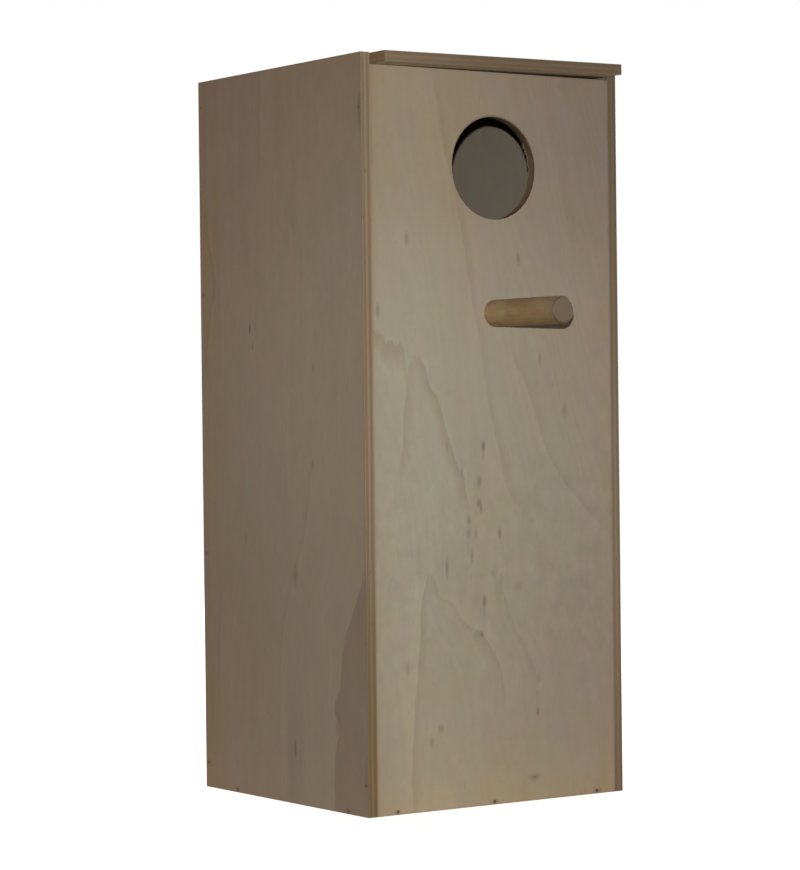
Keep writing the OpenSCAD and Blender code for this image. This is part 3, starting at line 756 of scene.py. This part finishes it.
def softenEdges(piece, width):
    # A small rounding on the sharp edges of a CAD node
    rounding = piece.modifiers.new("arris", "BEVEL")
    rounding.width = width * mm
    rounding.segments = 2
    rounding.limit_method = "ANGLE"
    rounding.angle_limit = math.radians(50)
    rounding.use_clamp_overlap = True


for name, panel in panels.items():
    dress(nodes[name], makePlywood(name, panel))
    softenEdges(nodes[name], plyLook["arris"])
print("plywood made")

# Torn fibres at the entrance
fibreLook = {
    "seed": 7, "count": 16, "turns": (56, 94),   # degrees round from the top of the hole
    "length": (2.0, 6.5), "width": (0.35, 0.8), "thickness": 0.25, "lean": 0.2, "curl": 0.8, "depth": 2.6,
    "tip": 0.15,                                 # its width at the tip, as a share
    "steps": (-0.15, 0.3, 0.7, 1.0),             # its cross-sections, from inside the wood to the tip
    "colour": "#84745d", "dark": "#57483a", "grain": (0.5, 0.5, 5), "rough": (0.75, 0.9),
    "bump": (0.1, 0.4),
}


def makeTornWood(look):
    # Veneer fibres broken off by the saw: raw and matt, mottled with darker wood
    material, add, spot, _ = startMaterial("tornVeneerFibre")
    grain = grainNoise(add, spot, look["grain"], 2.0, 0.6)
    colour = add("Mix", [grain, look["colour"], look["dark"]], data_type="RGBA")
    rough = add("MapRange", [grain, 0.0, 1.0, *look["rough"]])
    finishMaterial(add, colour, rough, grain, look["bump"])
    return material


def tearFibres(look):
    # Thin slivers that hang down the grain from the inner edge of the hole
    chance = random.Random(look["seed"])
    middle = Vector(entrance["pos_m"])
    reach = entrance["dims"]["r_mm"] * mm
    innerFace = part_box("front_wall")[1].y
    work = bmesh.new()
    for _ in range(look["count"]):
        turn = math.radians(chance.uniform(*look["turns"]))
        length = chance.uniform(*look["length"]) * mm
        width = chance.uniform(*look["width"]) * mm / 2
        half = look["thickness"] * mm / 2
        curl = chance.uniform(0.2, 1.0) * look["curl"] * mm
        back = innerFace - chance.uniform(0.2, look["depth"]) * mm
        start = Vector((middle.x + reach * math.sin(turn), back, middle.z + reach * math.cos(turn)))
        rings = []
        for step in look["steps"]:
            run = max(step, 0.0)
            centre = start + Vector((-look["lean"] * length * run * run, curl * run * run, -length * step))
            share = 1 - (1 - look["tip"]) * run
            rings.append([work.verts.new(centre + Vector((x * width * share, y * half * share, 0)))
                          for x, y in ((-1, -1), (1, -1), (1, 1), (-1, 1))])
        for first, second in zip(rings, rings[1:]):
            for i in range(4):
                work.faces.new((first[i - 1], first[i], second[i], second[i - 1]))
        work.faces.new(rings[0])
        work.faces.new(rings[-1])
    bmesh.ops.recalc_face_normals(work, faces=work.faces)
    piece = addPiece("entrance_torn_fibres", work, makeTornWood(look))
    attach(piece, "box")


tearFibres(fibreLook)
print("torn fibres made")

# Perch
dowelLook = {
    "pale": "#907b59", "brown": "#7a6140", "rusty": "#7c5d40", "dark": "#6c5438", "grey": "#77664e",
    # grime and worn are painted shade: under the dowel, and on its rounded tip edge
    "end": "#6a5c49", "endDark": "#64553f", "grime": "#e0d3c2", "worn": "#a99d8b",
    # From tip to root
    "paleAlong": [(-45, 0.55), (-35, 0.7), (-18, 0.6), (0, 0.4), (15, 0.6), (33, 0.95), (45, 1)],
    "patchGain": 1.1, "rustyShown": (0.5, 0.62), "rustyGain": 0.7,
    "darkShown": (0.5, 0.85), "darkGain": 0.4,
    "greyed": (16, 2),                      # how far from the tip the greying begins, and is full
    "fibre": (1.1, 34, 1.1),                # across the dowel, along it and up through it
    "patch": (10, 24, 10),
    "onCorner": (0.1, 0.6), "onEnd": (0.8, 0.98), "onUnder": (0.1, 0.9),     # how squarely these face
    "ringStep": 2.6, "pith": (9, 0, -13),   # growth rings on the end, round a centre outside the dowel
    "ringWaver": 5, "ringGain": 0.5, "rough": (0.5, 0.64), "specular": 0.35, "bump": (0.12, 0.35),
}


def makeDowel(look):
    # Turned hardwood dowel, bare: browner than the plywood, long fibres on its side, rings on its end
    low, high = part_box("perch")
    tip = (low.y - high.y) / 2 / mm
    material, add, spot, normal = startMaterial("turnedHardwoodDowel")
    spot = add("VectorMath", [spot, (low + high) / 2 / mm], "SUBTRACT")
    fibre = grainNoise(add, spot, look["fibre"], 3.0, 0.65)
    patch = grainNoise(add, spot, look["patch"], 2.0)
    along = add("SeparateXYZ", [spot]).outputs["Y"]

    # The side, from its brown wood to the rust, dark fibres and grey tip on it
    pale = centred(add, patch, look["patchGain"], throughPoints(add, along, look["paleAlong"]))
    rusty = add("MapRange", [patch.outputs["Color"], *look["rustyShown"], 0.0, look["rustyGain"]])
    fibreDark = add("MapRange", [fibre, *look["darkShown"], 0.0, look["darkGain"]])
    greyed = add("MapRange", [along, *(tip + reach for reach in look["greyed"])])
    side = look["brown"]
    for amount, other in ((pale, "pale"), (rusty, "rusty"), (fibreDark, "dark"), (greyed, "grey")):
        amount = add("Clamp", {"Value": amount})
        side = add("Mix", [amount, side, look[other]], data_type="RGBA")

    # The end, with its rings
    apart = add("VectorMath", [spot, look["pith"]], "SUBTRACT")
    apart = add("VectorMath", [apart, (1, 0, 1)], "MULTIPLY")
    apart = add("VectorMath", [apart], "LENGTH")
    rings = add("Math", [apart, 2 * math.pi / look["ringStep"]], "MULTIPLY")
    rings = add("Math", [fibre, look["ringWaver"], rings], "MULTIPLY_ADD")
    rings = add("Math", [rings], "SINE")
    ringDark = add("MapRange", [rings, -1.0, 1.0, 0.0, look["ringGain"]])
    end = add("Mix", [ringDark, look["end"], look["endDark"]], data_type="RGBA")

    facing = add("VectorMath", [normal, (0, -1, 0)], "DOT_PRODUCT")
    under = add("VectorMath", [normal, (0, 0, -1)], "DOT_PRODUCT")
    onCorner = add("MapRange", [facing, *look["onCorner"]])
    onEnd = add("MapRange", [facing, *look["onEnd"]])
    under = add("MapRange", [under, *look["onUnder"]])
    # Painted shade: the rounded tip edge is darkened to damp the highlight it catches
    side = stained(add, side, onCorner, look["worn"])
    colour = add("Mix", [onEnd, side, end], data_type="RGBA")
    # Painted shade: the dowel is darker on its underside
    colour = stained(add, colour, under, look["grime"])
    rough = add("MapRange", [fibre, *noiseSpan, *look["rough"]])
    height = add("Mix", [onEnd, fibre, ringDark], data_type="FLOAT")
    finishMaterial(add, colour, rough, height, look["bump"], specular=look["specular"])
    return material


dress(nodes["perch"], makeDowel(dowelLook))
print("perch made")

# Hinges, screws and brads; grain and scratch sizes are along each axis
zincLook = {
    "colour": "#83817c", "dull": "#706e69", "tarnish": "#5a564f", "tarnishGain": 0.5,
    "spangle": (2.4, 2.4, 2.4), "dullShown": (0.35, 0.7), "scratch": (18, 0.35, 0.35),
    "tarnishShown": (0.6, 0.8), "rough": (0.3, 0.48), "bump": (0.03, 0.4), "arris": 0.15,
}
bradLook = {
    "colour": "#564b3f", "rust": "#634c37", "grain": (0.7, 0.7, 0.7), "rustShown": (0.4, 0.65),
    "rough": (0.55, 0.8), "bump": (0.1, 0.5), "metallic": 0.7, "arris": 0.12,
}


def makeZinc(look):
    # Zinc-plated rolled steel: a satin grey metal with faint cloudy patches and fine scratches along it
    material, add, spot, _ = startMaterial("zincPlatedSteel")
    cloud = grainNoise(add, spot, look["spangle"], 3.0, 0.6)
    scratch = grainNoise(add, spot, look["scratch"], 2.0, 0.6)
    dull = add("MapRange", [cloud, *look["dullShown"]])
    tarnish = add("MapRange", [scratch, *look["tarnishShown"], 0.0, look["tarnishGain"]])
    colour = add("Mix", [dull, look["colour"], look["dull"]], data_type="RGBA")
    colour = add("Mix", [tarnish, colour, look["tarnish"]], data_type="RGBA")
    rough = add("MapRange", [cloud, *noiseSpan, *look["rough"]])
    finishMaterial(add, colour, rough, scratch, look["bump"], metallic=1.0)
    return material


def makeBradSteel(look):
    # Plain drawn steel, dulled and lightly rusted: small dark dots in the wood
    material, add, spot, _ = startMaterial("dulledDrawnSteel")
    grain = grainNoise(add, spot, look["grain"], 3.0, 0.65)
    rusty = add("MapRange", [grain, *look["rustShown"]])
    colour = add("Mix", [rusty, look["colour"], look["rust"]], data_type="RGBA")
    rough = add("MapRange", [grain, *noiseSpan, *look["rough"]])
    finishMaterial(add, colour, rough, grain, look["bump"], metallic=look["metallic"])
    return material


zinc, bradSteel = makeZinc(zincLook), makeBradSteel(bradLook)
for node, piece in nodes.items():
    if "hinge" in node:
        dress(piece, zinc)
        softenEdges(piece, zincLook["arris"])
    elif "brad" in node:
        dress(piece, bradSteel)
        softenEdges(piece, bradLook["arris"])

# Countersunk cross-head screws: the heads of a perch screw's node and of a hinge leaf's
perchScrew = {"headWidth": 7.8, "coneDepth": 2.4, "count": 1}
hingeScrew = {"headWidth": 4.0, "coneDepth": 1.2, "count": 2}
# Their sizes as shares of the head's width; the shank and tip are shares of its radius, and the recess's
# floor is a share of the arm above it
screwLook = {
    "segments": 40, "rimFlat": 0.03, "shank": 0.6, "tip": 0.072, "pointLength": 1.1,
    "armLength": 0.34, "armWidth": 0.075, "recess": 0.3, "floorLength": 0.42, "floorWidth": 0.8,
}


def addScrew(work, seat, into, length, screw, look):
    # One screw: its flat head at seat, pointing along into, with a cross recess sunk in the head
    turn = Vector((0, 0, 1)).rotation_difference(into).to_matrix()
    count, headWidth = look["segments"], screw["headWidth"] * mm
    radius, flat = headWidth / 2, look["rimFlat"] * headWidth

    def place(x, y, z):
        return work.verts.new(seat + turn @ Vector((x, y, z)))

    def circle(radius, z):
        turns = [2 * math.pi * i / count for i in range(count)]
        return [place(radius * math.cos(a), radius * math.sin(a), z) for a in turns]

    def join(first, second):
        for i in range(len(first)):
            work.faces.new((first[i - 1], second[i - 1], second[i], first[i]))

    shank = radius * look["shank"]
    rings = [
        circle(radius - flat, 0), circle(radius, flat), circle(shank, screw["coneDepth"] * mm),
        circle(shank, length - look["pointLength"] * headWidth), circle(radius * look["tip"], length)]
    for first, second in zip(rings, rings[1:]):
        join(first, second)
    work.faces.new(rings[-1])
    arm, width = look["armLength"] * headWidth, look["armWidth"] * headWidth
    floor = (look["recess"] * headWidth, arm * look["floorLength"], width * look["floorWidth"])
    crosses = []
    for z, reach, wide in ((0, arm, width), floor):
        corners = []
        for i in range(4):
            x, y = math.cos(i * math.pi / 2), math.sin(i * math.pi / 2)
            for far, side in ((reach, -wide), (reach, wide), (wide, wide)):
                corners.append(place(x * far - y * side, y * far + x * side, z))
        crosses.append(corners)
    join(crosses[0], crosses[1])
    work.faces.new(crosses[1])
    rims = [work.edges.get((ring[i - 1], ring[i]))
            for ring in (rings[0], crosses[0]) for i in range(len(ring))]
    bmesh.ops.triangle_fill(work, edges=rims, use_beauty=True)


def driveScrews(node, body, into, look):
    # Stands for a node of one or two plain screws, with the same seats, lengths and head sizes
    low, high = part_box(node)
    screw = perchScrew if node == "perch_screw" else hingeScrew
    half = screw["headWidth"] * mm / 2
    seats = [Vector((low.x + half, high.y, low.z + half)), Vector((high.x - half, high.y, high.z - half))]
    work = bmesh.new()
    for seat in seats[:screw["count"]]:
        addScrew(work, seat, into, high.y - low.y, screw, look)
    bmesh.ops.recalc_face_normals(work, faces=work.faces)
    piece = addPiece(node + "_crosshead", work, zinc)
    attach(piece, body)
    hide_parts(node)


for node in [name for name in nodes if "screw" in name]:
    driveScrews(node, "lid" if "lid" in node else "box", Vector((0, -1, 0)), screwLook)
print("hinges, screws and brads made")
